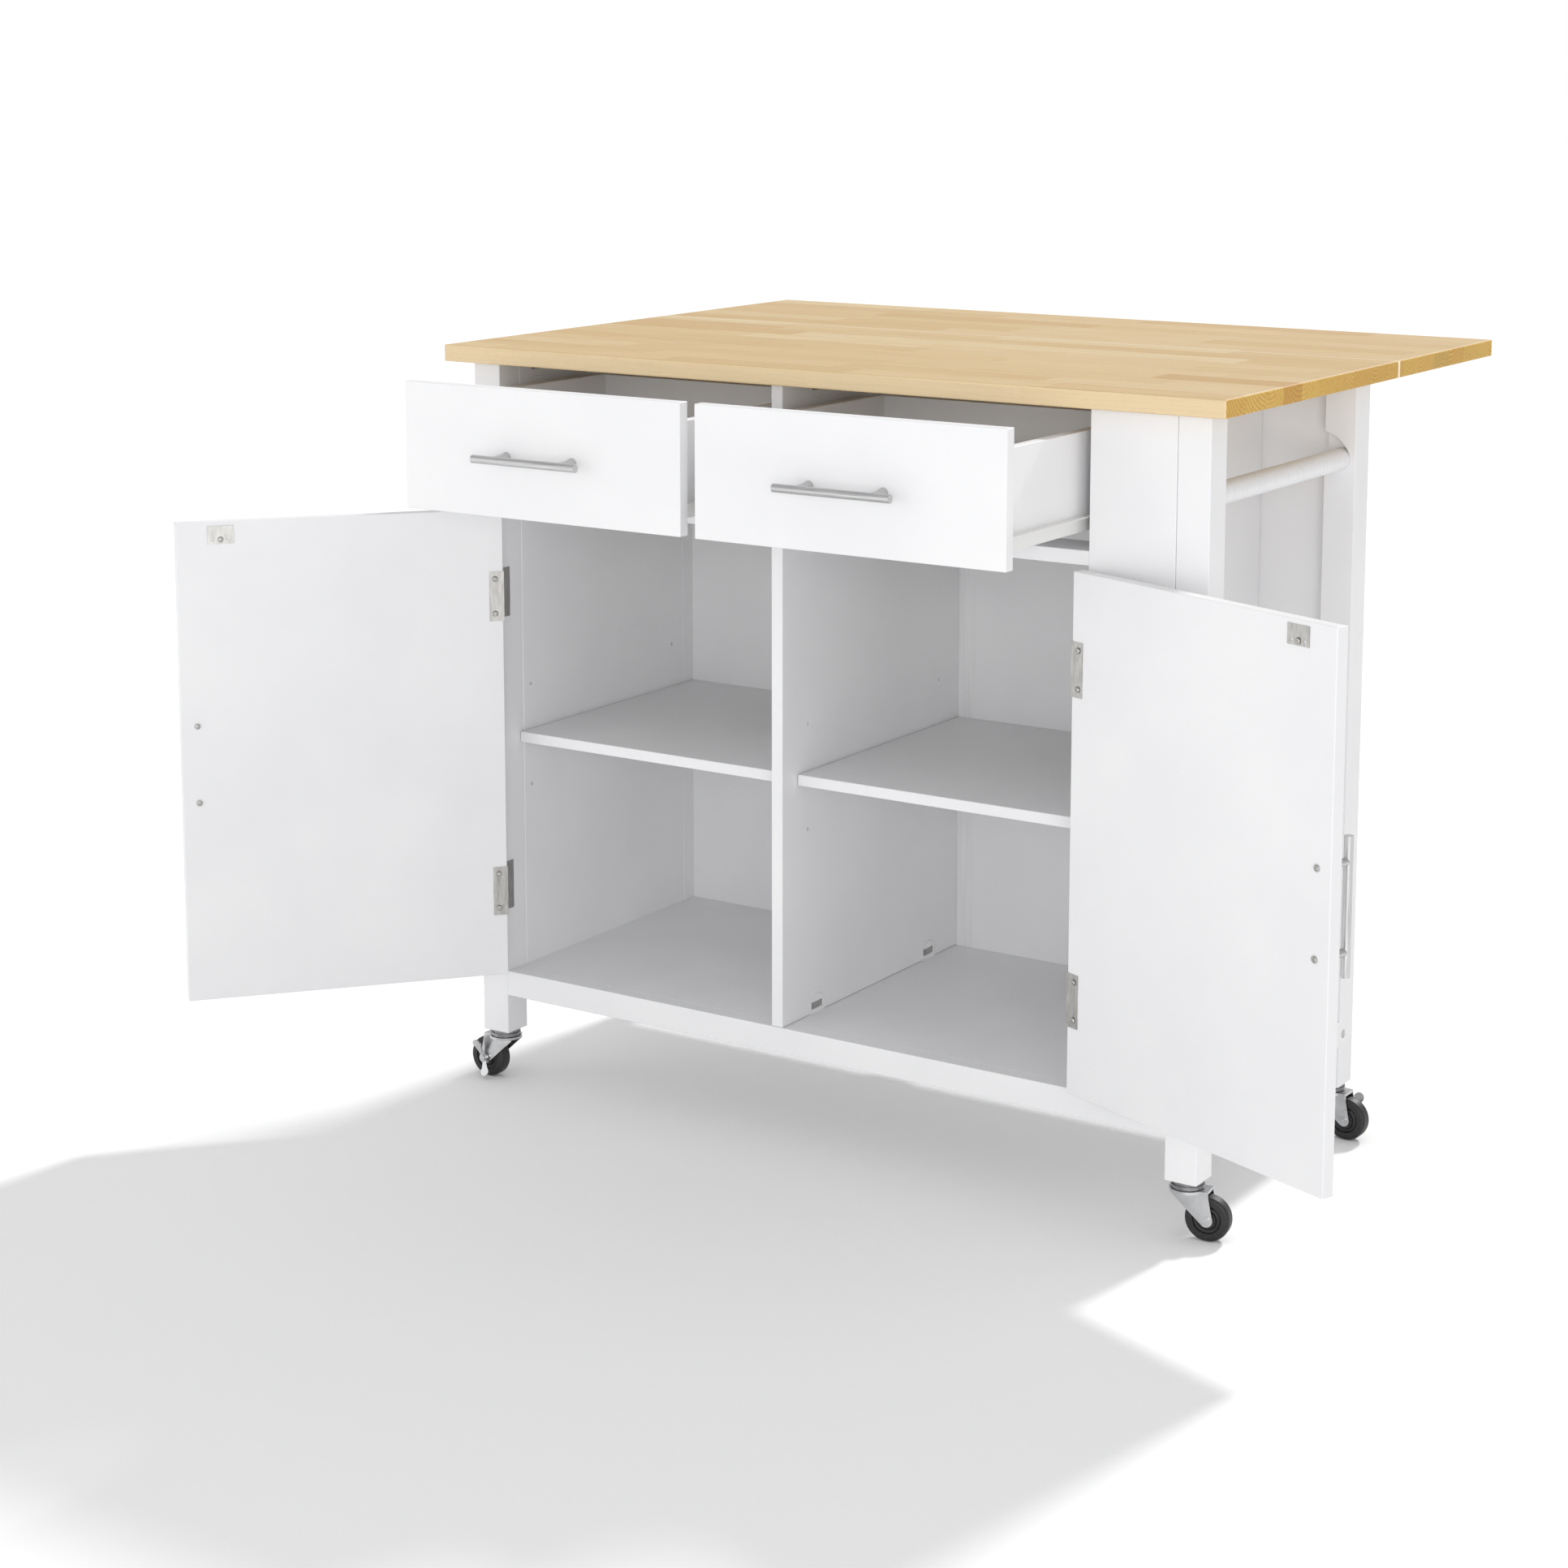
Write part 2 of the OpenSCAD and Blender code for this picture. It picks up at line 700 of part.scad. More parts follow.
// Lies along X at its own origin, on a face at y = 0 that looks to the front
module handle(board_behind) {
    color(steel) {
        rod_x(-handle_length / 2, handle_length / 2, -handle_reach, 0, handle_radius);
        for (x = [-handle_centres / 2, handle_centres / 2]) translate([x, 0, 0]) {
            rotate([90, 0, 0]) cylinder(r = handle_radius - 0.5, h = handle_reach);
            rotate([90, 0, 0]) cylinder(r1 = flare_radius, r2 = handle_radius - 0.5, h = 12);
            rod_y(0, -1, board_behind, 0, screw_radius);
            rod_y(0, board_behind, board_behind + 1.2, 0, screw_head);
        }
    }
}

module handle_bores() {
    for (x = [-handle_centres / 2, handle_centres / 2])
        rod_y(x, -1, panel_thickness + 1, 0, screw_radius);
}

// Doors are modelled closed, with the hinge pin at x = 0, y = 0
hinge_stand = hinge_radius + 0.5;
hinge_edge = side_gap / 2;
door_bottom = floor_top + door_gap;
door_top = rail_bottom - door_gap;
hinge_zs = [door_bottom + hinge_inset, door_top - hinge_inset];
hinge_pin = 1.5;
leaf_screw = 9;
leaf_start = hinge_stand - 0.2;
knuckle = hinge_length / 5;
strike_inset = 51.5;
strike_x = hinge_edge + front_width - strike_inset;
strike_width = 30;
strike_height = 21;
strike_top = door_top - 5;
door_handle_z = (door_bottom + door_top) / 2 - 0.5;
door_handle_x = hinge_edge + front_width - handle_inset;

module at_hinge(side, angle) {
    x = side < 0 ? bay_left + hinge_edge : partition_x - hinge_edge;
    translate([x, front - hinge_stand, 0]) mirror([side < 0 ? 0 : 1, 0, 0])
        rotate([0, 0, -angle]) children();
}

module door_board() {
    color(white) difference() {
        soft_board(hinge_edge, hinge_edge + front_width, hinge_stand,
            hinge_stand + panel_thickness, door_bottom, door_top);
        translate([door_handle_x, hinge_stand, door_handle_z]) rotate([0, 90, 0]) handle_bores();
    }
}

module door_handle() {
    translate([door_handle_x, hinge_stand, door_handle_z]) rotate([0, 90, 0])
        handle(panel_thickness);
}

module door_hardware() {
    inner = hinge_stand + panel_thickness;
    color(steel) {
        for (z = hinge_zs) translate([0, 0, z - hinge_length / 2]) {
            difference() {
                union() {
                    board(hinge_edge - hinge_sheet, hinge_edge, leaf_start,
                        inner + hinge_sheet, 0, hinge_length);
                    board(hinge_edge - hinge_sheet, hinge_edge + door_leaf_width, inner,
                        inner + hinge_sheet, 0, hinge_length);
                    for (step = [1, 3]) {
                        rod_z(0, 0, step * knuckle + clear, (step + 1) * knuckle - clear,
                            hinge_radius);
                        board(hinge_edge - hinge_sheet, hinge_edge, 0, hinge_stand,
                            step * knuckle + clear, (step + 1) * knuckle - clear);
                    }
                }
                rod_z(0, 0, -1, hinge_length + 1, hinge_pin + fit);
            }
            for (end = [leaf_screw, hinge_length - leaf_screw])
                rod_y(hinge_edge + door_leaf_width / 2 + 1.5, inner, inner + hinge_sheet + 0.9,
                    end, 3);
        }
        difference() {
            board(strike_x - strike_width / 2, strike_x + strike_width / 2, inner, inner + 1,
                strike_top - strike_height, strike_top);
            for (x = [-9, 9])
                rod_y(strike_x + x, inner - 1, inner + 2, strike_top - strike_height + 5, 1.8);
        }
        rod_y(strike_x, inner, inner + 1.8, strike_top - strike_height + 5, 3);
    }
}

module door_left() { at_hinge(-1, left_door_angle) door_board(); }
module door_left_handle() { at_hinge(-1, left_door_angle) door_handle(); }
module door_left_hardware() { at_hinge(-1, left_door_angle) door_hardware(); }
module door_right() { at_hinge(1, right_door_angle) door_board(); }
module door_right_handle() { at_hinge(1, right_door_angle) door_handle(); }
module door_right_hardware() { at_hinge(1, right_door_angle) door_hardware(); }

module door_hinge_plates() {
    color(steel) for (side = [-1, 1]) at_hinge(side, 0) for (z = hinge_zs)
        translate([0, 0, z - hinge_length / 2]) {
            difference() {
                board(-hinge_edge, hinge_sheet - hinge_edge, leaf_start,
                    leaf_start + frame_leaf_width, 0, hinge_length);
                for (end = [leaf_screw, hinge_length - leaf_screw])
                    rod_x(-hinge_edge + 0.5, hinge_edge, leaf_start + 7, end, 3);
            }
            for (step = [0, 2, 4]) {
                rod_z(0, 0, step * knuckle, (step + 1) * knuckle, hinge_radius);
                board(-hinge_edge, hinge_sheet - hinge_edge, 0, hinge_stand,
                    step * knuckle, (step + 1) * knuckle);
            }
            rod_z(0, 0, 0, hinge_length, hinge_pin);
        }
}

catch_size = [42, 14, 11];

module door_catches() {
    for (side = [-1, 1]) at_hinge(side, 0) color(grey) {
        y0 = hinge_stand + panel_thickness + 1.5;
        board(strike_x - catch_size[0] / 2, strike_x + catch_size[0] / 2, y0, y0 + catch_size[1],
            rail_bottom - catch_size[2], rail_bottom);
        board(strike_x - catch_size[0] / 2 - 8, strike_x + catch_size[0] / 2 + 8, y0 + 4,
            y0 + catch_size[1], rail_bottom - 2.5, rail_bottom);
    }
}

// Drawers are modelled closed, over a bay that starts at x
drawer_bottom = rail_top + drawer_gap;
drawer_top = top_under - drawer_top_gap;
side_bottom = rail_top + drawer_lift;
side_top = side_bottom + drawer_side_height;
panel_bottom = side_bottom + bottom_lift;
drawer_rear = inner_front + drawer_length;
drawer_handle_z = (drawer_bottom + drawer_top) / 2 - 4.5;

module bottom_shape(x) {
    side = x + runner_room + side_thickness;
    board(side - groove_depth, x + bay_width - runner_room - side_thickness + groove_depth,
        inner_front - groove_depth, drawer_rear - side_thickness, panel_bottom,
        panel_bottom + bottom_thickness);
}

module drawer_front(x) {
    color(white) difference() {
        soft_board(x + side_gap, x + side_gap + front_width, front, inner_front,
            drawer_bottom, drawer_top);
        bottom_shape(x);
        translate([x + bay_width / 2, front, drawer_handle_z]) handle_bores();
    }
}

module drawer_box(x) {
    x1 = x + bay_width - runner_room;
    color(white) difference() {
        union() {
            soft_board(x + runner_room, x + runner_room + side_thickness, inner_front,
                drawer_rear, side_bottom, side_top, 1);
            soft_board(x1 - side_thickness, x1, inner_front, drawer_rear, side_bottom, side_top, 1);
            soft_board(x + runner_room + side_thickness - 2, x1 - side_thickness + 2,
                drawer_rear - side_thickness, drawer_rear - 0.5, side_bottom + 2, side_top - 1, 1);
        }
        bottom_shape(x);
    }
}

module drawer_handle(x) {
    translate([x + bay_width / 2, front, drawer_handle_z]) handle(panel_thickness);
}

// Runners: the drawer part hangs on the drawer's sides, the cabinet part on the bay's walls
flange_z = side_bottom + 15;
roller_z = flange_z - roller_radius - clear;
track_z = roller_z - roller_radius - clear;
track_reach = 10.5;
flange_start = 3;
runner_end = drawer_rear;
front_roller_y = inner_front + 14;
rear_roller_y = drawer_rear - 14;
roller_axle = 2;

// Runs from the wall of a bay at x = 0 toward its drawer
module both_walls(x) {
    translate([x, 0, 0]) children();
    translate([x + bay_width, 0, 0]) mirror([1, 0, 0]) children();
}

module drawer_runners(x) {
    web = runner_room - runner_sheet;
    color(white) both_walls(x) {
        board(web, runner_room, inner_front + 1, runner_end, side_bottom - runner_sheet,
            flange_z + runner_sheet);
        board(web, runner_room + side_thickness - 2, inner_front + 1, runner_end,
            side_bottom - runner_sheet, side_bottom);
        rod_x(3.4, web, rear_roller_y, roller_z, roller_axle);
        rod_x(3.4, 4, rear_roller_y, roller_z, roller_axle + 1.5);
    }
}

// Flanges under which the cabinet's rollers run
module drawer_flanges(x) {
    color(white) both_walls(x)
        board(flange_start, runner_room - runner_sheet, inner_front + 1, runner_end, flange_z,
            flange_z + runner_sheet);
}

// Tracks on which the drawers' rollers run
module cabinet_tracks() {
    color(white) for (x = bays) both_walls(x)
        board(runner_sheet, track_reach, inner_front + 2, runner_end + 4,
            track_z - runner_sheet, track_z);
}

module cabinet_runners() {
    color(white) for (x = bays) both_walls(x) {
        board(0, runner_sheet, inner_front + 2, runner_end + 4, track_z - runner_sheet,
            flange_z + 3);
        rod_x(0, 9.9, front_roller_y, roller_z, roller_axle);
        rod_x(9.3, 9.9, front_roller_y, roller_z, roller_axle + 1.5);
    }
}

module roller(start, y) {
    color(white) difference() {
        rod_x(start, start + roller_width, y, roller_z, roller_radius);
        rod_x(start - 1, start + roller_width + 1, y, roller_z, roller_axle + fit);
    }
}

module cabinet_rollers_left() { both_walls(bay_left) roller(2.4, front_roller_y); }
module cabinet_rollers_right() { both_walls(bay_right) roller(2.4, front_roller_y); }
module out_left() { translate([0, -left_drawer_out, 0]) children(); }
module out_right() { translate([0, -right_drawer_out, 0]) children(); }
module drawer_rollers_left() { out_left() both_walls(bay_left) roller(4.5, rear_roller_y); }
module drawer_rollers_right() { out_right() both_walls(bay_right) roller(4.5, rear_roller_y); }
module drawer_left_front() { out_left() drawer_front(bay_left); }
module drawer_left_box() { out_left() drawer_box(bay_left); }
module drawer_left_bottom() { out_left() color(white) bottom_shape(bay_left); }
module drawer_left_handle() { out_left() drawer_handle(bay_left); }
module drawer_left_runners() { out_left() drawer_runners(bay_left); }
module drawer_left_flanges() { out_left() drawer_flanges(bay_left); }
module drawer_right_front() { out_right() drawer_front(bay_right); }
module drawer_right_box() { out_right() drawer_box(bay_right); }
module drawer_right_bottom() { out_right() color(white) bottom_shape(bay_right); }
module drawer_right_handle() { out_right() drawer_handle(bay_right); }
module drawer_right_runners() { out_right() drawer_runners(bay_right); }
module drawer_right_flanges() { out_right() drawer_flanges(bay_right); }

// Leaf on two folding brackets, whose pins lie on one line under the slot
pivot_y = top_rear + leaf_slot / 2;
pivot_z = top_under - pivot_drop;
pivot_radius = 3;
cheek_radius = pivot_drop - 0.5;
leg_height = 120;
bracket_xs = [-bracket_spread, bracket_spread];
leg_top = top_under - 1;
arm_half = bracket_width / 2 - bracket_sheet - 0.5;

module leaf() {
    color(wood) soft_board(-top_half, top_half, top_rear + leaf_slot,
        top_rear + leaf_slot + leaf_depth, top_under, total_height, top_edge);
}

module bracket_legs() {
    color(zinc) for (x = bracket_xs) {
        board(x - bracket_width / 2, x + bracket_width / 2, rear, rear + bracket_sheet,
            leg_top - leg_height, leg_top);
        for (x0 = [x - bracket_width / 2, x + bracket_width / 2 - bracket_sheet]) {
            board(x0, x0 + bracket_sheet, rear + bracket_sheet - 1, pivot_y,
                pivot_z - 30, pivot_z + cheek_radius - 1);
            rod_x(x0, x0 + bracket_sheet, pivot_y, pivot_z, cheek_radius);
        }
        rod_x(x - bracket_width / 2 - 2, x + bracket_width / 2 + 2, pivot_y, pivot_z,
            pivot_radius);
        for (z = [leg_top - 0.88 * leg_height, leg_top - 0.62 * leg_height])
            rod_y(x, rear + bracket_sheet, rear + bracket_sheet + 2, z, 4);
    }
}

module arm_side() {
    difference() {
        union() {
            circle(r = pivot_drop - 0.5);
            polygon([
                [0, -5], [0.4 * arm_length, -8], [arm_length, pivot_drop - 6], [arm_length, pivot_drop],
                [3, pivot_drop], [0, cheek_radius]
            ]);
        }
        circle(r = pivot_radius + fit);
    }
}

module bracket_arms() {
    color(zinc) for (x = bracket_xs) translate([x, pivot_y, pivot_z]) {
        for (x0 = [-arm_half, arm_half - bracket_sheet])
            translate([x0, 0, 0]) rotate([90, 0, 90]) linear_extrude(bracket_sheet) arm_side();
        board(-arm_half, arm_half, 8, arm_length, pivot_drop - bracket_sheet, pivot_drop);
        for (share = [0.23, 0.53, 0.83])
            rod_z(0, share * arm_length, pivot_drop - bracket_sheet - 2, pivot_drop - bracket_sheet, 4);
    }
}

worktop();
post_front_left();
post_front_right();
post_rear_left();
post_rear_right();
side_panel();
partition();
front_filler();
cabinet_floor();
aprons();
divider();
rear_stile();
back_panels();
rear_rails();
drawer_rails();
shelves();
shelf_pins();
towel_bar();
frame_fixings();
fixing_plugs();
door_catches();
door_hinge_plates();
cabinet_runners();
cabinet_tracks();
caster_stems();
bracket_legs();
leaf();
bracket_arms();
drawer_left_front();
drawer_left_box();
drawer_left_bottom();
drawer_left_handle();
drawer_left_runners();
drawer_left_flanges();
drawer_right_front();
drawer_right_box();
drawer_right_bottom();
drawer_right_handle();
drawer_right_runners();
drawer_right_flanges();
cabinet_rollers_left();
cabinet_rollers_right();
drawer_rollers_left();
drawer_rollers_right();
door_left();
door_left_handle();
door_left_hardware();
door_right();
door_right_handle();
door_right_hardware();
fork_front_left();
fork_front_right();
fork_rear_left();
fork_rear_right();
wheel_front_left();
wheel_front_right();
wheel_rear_left();
wheel_rear_right();
brake_front_left();
brake_rear_right();
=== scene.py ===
import json
import math

import bpy
import numpy as np
from mathutils import Matrix, Vector


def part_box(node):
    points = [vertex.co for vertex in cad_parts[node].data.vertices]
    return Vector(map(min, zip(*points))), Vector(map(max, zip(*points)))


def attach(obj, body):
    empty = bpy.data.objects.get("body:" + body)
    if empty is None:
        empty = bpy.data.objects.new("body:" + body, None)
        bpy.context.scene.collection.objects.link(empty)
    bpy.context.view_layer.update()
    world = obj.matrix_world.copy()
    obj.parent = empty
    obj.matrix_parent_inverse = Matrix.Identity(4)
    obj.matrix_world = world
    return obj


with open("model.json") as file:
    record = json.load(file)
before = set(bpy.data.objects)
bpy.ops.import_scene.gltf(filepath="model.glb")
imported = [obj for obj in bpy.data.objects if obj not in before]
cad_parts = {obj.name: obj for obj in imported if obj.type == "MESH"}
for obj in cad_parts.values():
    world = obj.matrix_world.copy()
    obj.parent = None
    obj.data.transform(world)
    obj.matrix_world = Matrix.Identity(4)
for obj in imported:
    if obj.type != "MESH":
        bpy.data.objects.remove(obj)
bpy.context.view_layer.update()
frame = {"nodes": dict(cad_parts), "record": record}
mm = 0.001
scene = bpy.context.scene
print("frame loaded:", len(frame["nodes"]), "nodes")


# an sRGB hex value turned to linear, with alpha 1
def linearColour(hexText):
    parts = [int(hexText[i : i + 2], 16) / 255 for i in (0, 2, 4)]
    return [c / 12.92 if c <= 0.04045 else ((c + 0.055) / 1.055) ** 2.4 for c in parts] + [1.0]


# one node with its settings, and its inputs as plain values or as links from other nodes' outputs
def addNode(tree, kind, settings=None, inputs=None, stops=None):
    node = tree.nodes.new(kind)
    for name, value in (settings or {}).items():
        setattr(node, name, value)
    for name, value in (inputs or {}).items():
        if isinstance(value, bpy.types.NodeSocket):
            tree.links.new(value, node.inputs[name])
        else:
            node.inputs[name].default_value = value
    if stops:
        ramp = node.color_ramp.elements
        while len(ramp) < len(stops):
            ramp.new(0.5)
        for element, (place, colour) in zip(ramp, stops):
            element.position = place
            element.color = linearColour(colour) if isinstance(colour, str) else [colour] * 3 + [1.0]
    return node


def newMaterial(name):
    material = bpy.data.materials.new(name)
    material.use_nodes = True
    material.node_tree.nodes.clear()
    return material, material.node_tree


def finishMaterial(tree, inputs):
    shader = addNode(tree, "ShaderNodeBsdfPrincipled", None, inputs)
    addNode(tree, "ShaderNodeOutputMaterial", None, {"Surface": shader.outputs[0]})


# object coordinates times a scale per axis, so that a pattern's cells can be longer along one axis
def scaledCoordinates(tree, scale):
    place = addNode(tree, "ShaderNodeTexCoord").outputs["Object"]
    return addNode(tree, "ShaderNodeVectorMath", {"operation": "MULTIPLY"}, {0: place, 1: scale}).outputs[0]


# Satin acrylic enamel rolled on board: an even cool white with a faint orange peel
paintLook = {
    "light": "F3F3F4", "dark": "EDEDEF", "lightAt": 0.7, "darkAt": 0.3, "patchMm": 160,
    "peelMm": 1.6, "peelDepthMm": 0.012, "peelStrength": 0.5,
    "rough": 0.46, "roughSpread": 0.05, "specular": 0.45,
}
# wood grain under the enamel: how many lines per metre along X, Y and Z, how dark and how deep they are
grainLook = {
    "cells": (420, 420, 7), "shade": 0.93, "shadeAt": 0.35, "clearAt": 0.6, "bend": 0.4,
    "depthMm": 0.10, "strength": 0.6,
}


def satinEnamel(name, look, grain=None):
    material, tree = newMaterial(name)
    patch = addNode(tree, "ShaderNodeTexNoise", None, {
        "Vector": scaledCoordinates(tree, (1, 1, 1)), "Scale": 1 / (look["patchMm"] * mm), "Detail": 3.0,
    })
    tone = addNode(tree, "ShaderNodeValToRGB", None, {0: patch.outputs[0]},
                   [(look["darkAt"], look["dark"]), (look["lightAt"], look["light"])])
    peel = addNode(tree, "ShaderNodeTexNoise", None, {
        "Vector": scaledCoordinates(tree, (1, 1, 1)), "Scale": 1 / (look["peelMm"] * mm), "Detail": 2.0,
    })
    bump = addNode(tree, "ShaderNodeBump", None, {
        "Height": peel.outputs[0], "Strength": look["peelStrength"], "Distance": look["peelDepthMm"] * mm,
    })
    colour = tone.outputs[0]
    if grain:
        lines = addNode(tree, "ShaderNodeTexNoise", None, {
            "Vector": scaledCoordinates(tree, grain["cells"]), "Scale": 1.0, "Detail": 4.0,
            "Distortion": grain["bend"],
        })
        shade = addNode(tree, "ShaderNodeValToRGB", None, {0: lines.outputs[0]},
                        [(grain["shadeAt"], grain["shade"]), (grain["clearAt"], 1.0)])
        colour = addNode(tree, "ShaderNodeMix", {"data_type": "RGBA", "blend_type": "MULTIPLY"}, {
            "Factor": 1.0, 6: colour, 7: shade.outputs[0],
        }).outputs[2]
        bump = addNode(tree, "ShaderNodeBump", None, {
            "Height": lines.outputs[0], "Strength": grain["strength"], "Distance": grain["depthMm"] * mm,
            "Normal": bump.outputs[0],
        })
    rough = addNode(tree, "ShaderNodeMapRange", None, {
        "Value": patch.outputs[0], "To Min": look["rough"] - look["roughSpread"],
        "To Max": look["rough"] + look["roughSpread"],
    })
    finishMaterial(tree, {
        "Base Color": colour, "Roughness": rough.outputs[0], "Normal": bump.outputs[0],
        "Specular IOR Level": look["specular"],
    })
    return material


# Rubberwood butcher block: finger-width staves glued side by side, each made of blocks butted end to end.
# Cells are a noise's lengths per metre along X, Y and Z. Shades multiply the tone, shares mix a colour in.
blockLook = {
    "staveMm": 46.5, "blockMm": 210, "blockSpreadMm": 260, "firstStave": 40, "rowJump": 9.0, "blockJump": 40.0,
    "tones": [(0.0, "DCBE8A"), (0.25, "E3C796"), (0.5, "E0C290"), (0.72, "DABA83"), (0.88, "E6CD9F"),
              (0.96, "D2AC72"), (1.0, "DEC08C")],
    "lightness": 0.92, "seamMm": 0.3, "seamShade": 0.84,
    "ringMm": 5.2, "ringFrom": 0.1, "ringShade": 0.95, "pithSpread": 1.3, "pithUnderMm": 3, "pithDepthMm": 22,
    "pithLean": 0.03, "wobbleMm": 14, "wobbleCells": (3.0, 16.0, 16.0),
    "streak": "C8924F", "streakShare": 0.42, "streakLeast": 0.35, "streakFrom": 0.5, "streakTo": 0.74,
    "streakCells": (11.0, 120.0, 120.0), "streakRough": 0.6,
    "poreCells": (75.0, 1500.0, 1500.0), "poreFrom": 0.58, "poreTo": 0.74, "poreShade": 0.80,
    "fibreCells": (9.0, 330.0, 330.0), "fibreRough": 0.62, "fibreFrom": 0.3, "fibreTo": 0.7,
    "fibreDark": 0.94, "fibreLight": 1.05,
    "endTint": "FCEC94", "endRing": "C07F38", "endRingFrom": -0.2, "endRingLeast": 0.2, "endRingShare": 0.6,
    "edgeTint": "FBE4BC", "edgeShare": 0.7, "edgeEvenness": 0.5,
    # the pale colour beside the slot is a painted highlight of the rounded edges there
    "slotHighlight": "FFF4DE", "arrisMm": 2.6, "arrisFadeMm": 0.5, "slotHighlightShare": 0.85,
    "smooth": 0.42, "rough": 0.56, "reliefMm": 0.1, "reliefStrength": 0.35, "specular": 0.35,
}


def butcherBlock(name, look, topZ, edgeY, slotY):
    material, tree = newMaterial(name)

    def calc(operation, first, second=0.0):
        return addNode(tree, "ShaderNodeMath", {"operation": operation}, {0: first, 1: second}).outputs[0]

    def mapped(value, fromMin, fromMax, toMin, toMax):
        return addNode(tree, "ShaderNodeMapRange", None, {
            "Value": value, "From Min": fromMin, "From Max": fromMax, "To Min": toMin, "To Max": toMax,
        }).outputs[0]

    def mixed(factor, first, second, blend="MIX"):
        return addNode(tree, "ShaderNodeMix", {"data_type": "RGBA", "blend_type": blend}, {
            "Factor": factor, 6: first, 7: linearColour(second) if isinstance(second, str) else second,
        }).outputs[2]

    # distance to the nearer end of a cell of this length, from a count of such cells
    def gapTo(cells, length):
        offCentre = calc("ABSOLUTE", calc("SUBTRACT", calc("FRACT", cells), 0.5))
        return calc("MULTIPLY", calc("SUBTRACT", 0.5, offCentre), length)

    # a draw between 0 and 1 moved to lie round 0
    def centred(draw):
        return calc("SUBTRACT", draw, 0.5)

    coordinates = addNode(tree, "ShaderNodeTexCoord")
    axes = addNode(tree, "ShaderNodeSeparateXYZ", None, {0: coordinates.outputs["Object"]})
    x, y, z = axes.outputs[0], axes.outputs[1], axes.outputs[2]
    stave = look["staveMm"] * mm
    across = calc("DIVIDE", calc("SUBTRACT", y, edgeY - look["firstStave"] * stave), stave)
    row = calc("FLOOR", across)
    rowDice = addNode(tree, "ShaderNodeTexWhiteNoise", {"noise_dimensions": "1D"}, {"W": row})
    longer = calc("MULTIPLY", rowDice.outputs["Value"], look["blockSpreadMm"] * mm)
    length = calc("ADD", longer, look["blockMm"] * mm)
    rowColour = addNode(tree, "ShaderNodeSeparateColor", None, {0: rowDice.outputs["Color"]})
    start = calc("ADD", calc("MULTIPLY", rowColour.outputs[1], look["rowJump"]), 20.0)
    along = calc("ADD", calc("DIVIDE", x, length), start)
    block = addNode(tree, "ShaderNodeCombineXYZ", None, {0: row, 1: calc("FLOOR", along), 2: 0.0})
    dice = addNode(tree, "ShaderNodeTexWhiteNoise", {"noise_dimensions": "3D"}, {"Vector": block.outputs[0]})
    odds = addNode(tree, "ShaderNodeSeparateColor", None, {0: dice.outputs["Color"]})
    tone = addNode(tree, "ShaderNodeValToRGB", None, {0: dice.outputs["Value"]}, look["tones"]).outputs[0]

    # a noise stretched along the block, whose pattern jumps from one block to the next
    jump = addNode(tree, "ShaderNodeVectorMath", {"operation": "SCALE"}, {
        0: dice.outputs["Color"], "Scale": look["blockJump"]})

    def blockNoise(cells, detail, rough=0.5):
        place = addNode(tree, "ShaderNodeVectorMath", {"operation": "ADD"}, {
            0: scaledCoordinates(tree, cells), 1: jump.outputs[0]})
        return addNode(tree, "ShaderNodeTexNoise", None, {
            "Vector": place.outputs[0], "Scale": 1.0, "Detail": detail, "Roughness": rough}).outputs[0]

    # growth rings are cylinders round a pith that lies under or beside each block and leans a little
    sideways = calc("ADD", calc("MULTIPLY", centred(calc("FRACT", across)), stave),
                    calc("MULTIPLY", centred(odds.outputs[1]), look["pithSpread"] * stave))
    depth = calc("ADD", calc("SUBTRACT", topZ + look["pithUnderMm"] * mm, z),
                 calc("MULTIPLY", odds.outputs[2], look["pithDepthMm"] * mm))
    lean = calc("MULTIPLY", centred(odds.outputs[0]), calc("MULTIPLY", x, look["pithLean"]))
    depth = calc("ADD", depth, lean)
    radius = calc("SQRT", calc("ADD", calc("MULTIPLY", sideways, sideways), calc("MULTIPLY", depth, depth)))
    wobble = calc("MULTIPLY", blockNoise(look["wobbleCells"], 2.0), look["wobbleMm"] * mm)
    ring = calc("SINE", calc("MULTIPLY", calc("ADD", radius, wobble), 2 * math.pi / (look["ringMm"] * mm)))
    ringShade = mapped(ring, look["ringFrom"], 1.0, 1.0, look["ringShade"])

    # heartwood streaks are warmer and run for a hand's width along the block
    streakNoise = blockNoise(look["streakCells"], 3.0, look["streakRough"])
    streak = calc("MULTIPLY", mapped(streakNoise, look["streakFrom"], look["streakTo"], 0.0, 1.0),
                  mapped(odds.outputs[2], 0.0, 1.0, look["streakLeast"], 1.0))
    tone = mixed(calc("MULTIPLY", streak, look["streakShare"]), tone, look["streak"])

    # vessels show as short dark dashes along the block, fibres as finer and longer ones
    pores = addNode(tree, "ShaderNodeTexNoise", None, {
        "Vector": scaledCoordinates(tree, look["poreCells"]), "Scale": 1.0, "Detail": 1.0})
    poreShade = mapped(pores.outputs[0], look["poreFrom"], look["poreTo"], 1.0, look["poreShade"])
    fibres = blockNoise(look["fibreCells"], 5.0, look["fibreRough"])
    fibreShade = mapped(fibres, look["fibreFrom"], look["fibreTo"], look["fibreDark"], look["fibreLight"])

    # glue lines between staves, and between the blocks of one stave
    nearest = calc("MINIMUM", gapTo(across, stave), gapTo(along, length))
    seam = mapped(nearest, 0.0, look["seamMm"] * mm, look["seamShade"], 1.0)
    shade = calc("MULTIPLY", calc("MULTIPLY", ringShade, poreShade), calc("MULTIPLY", fibreShade, seam))
